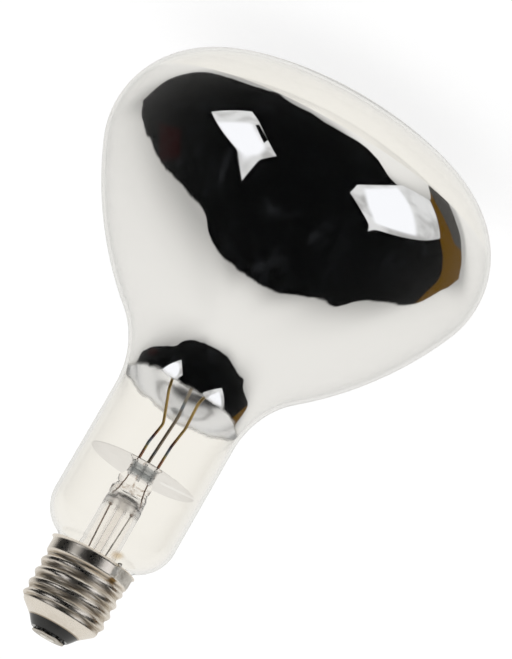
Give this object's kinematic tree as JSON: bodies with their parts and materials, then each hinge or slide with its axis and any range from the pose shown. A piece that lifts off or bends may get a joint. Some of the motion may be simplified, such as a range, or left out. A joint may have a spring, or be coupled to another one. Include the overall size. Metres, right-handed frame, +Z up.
{
  "type": "infrared heat lamp bulb",
  "caption": "Infrared reflector heat lamp: clear blown bulb with inner mirror film and open neck, wire stem inside, and a screw cap. Stands on its domed face.",
  "frame": {"origin": "lowest point of the domed face, on the lamp's axis", "axes": "+Z up the axis, from the face to the cap; -Y is the front, the side the picture shows"},
  "size_m": [0.1252, 0.1252, 0.1855],
  "materials": {
    "clear_glass": "clear blown glass, very faintly warm",
    "mirror_film": "vapour deposited aluminium, polished, dull grey at its neck edge",
    "stem_glass": "clear pressed and drawn glass with drawn lines",
    "mica": "split sheet mica, grey beige, glossy, with flaked edge",
    "lead_steel": "nickel iron wire, browned by heat with blue temper spots",
    "support_steel": "steel wire, brown grey oxide",
    "hook_wire": "drawn molybdenum wire, grey",
    "tungsten": "fine coiled tungsten wire, dark grey",
    "copper": "copper sheathed wire, dull",
    "plated_brass": "nickel plated, warm silver, light handling marks and flux stain",
    "black_glass": "black vitrified glass, satin",
    "contact_metal": "plated contact plate, lightly rubbed",
    "solder": "grey tin solder, rough and dull",
    "cement": "baked capping cement, tan, gritty"
  },
  "bodies": {
    "root": {"glass_envelope": "clear_glass", "reflector_coating": "mirror_film", "glass_stem": "stem_glass", "exhaust_tube": "stem_glass", "support_bead": "stem_glass", "mica_disc": "mica", "inner_lead_left": "lead_steel", "inner_lead_right": "lead_steel", "centre_support": "support_steel", "filament_hook_1": "hook_wire", "filament_hook_2": "hook_wire", "filament_hook_3": "hook_wire", "filament_hook_4": "hook_wire", "filament": "tungsten", "lead_clamp_left": "lead_steel", "lead_clamp_right": "lead_steel", "seal_wire_left": "copper", "seal_wire_right": "copper", "weld_knot_left": "lead_steel", "weld_knot_right": "lead_steel", "outer_lead_centre": "copper", "outer_lead_side": "copper", "cap_shell": "plated_brass", "cap_insulator": "black_glass", "centre_contact": "contact_metal", "centre_solder": "solder", "side_solder": "solder", "capping_cement": "cement"}
  },
  "joints": []
}
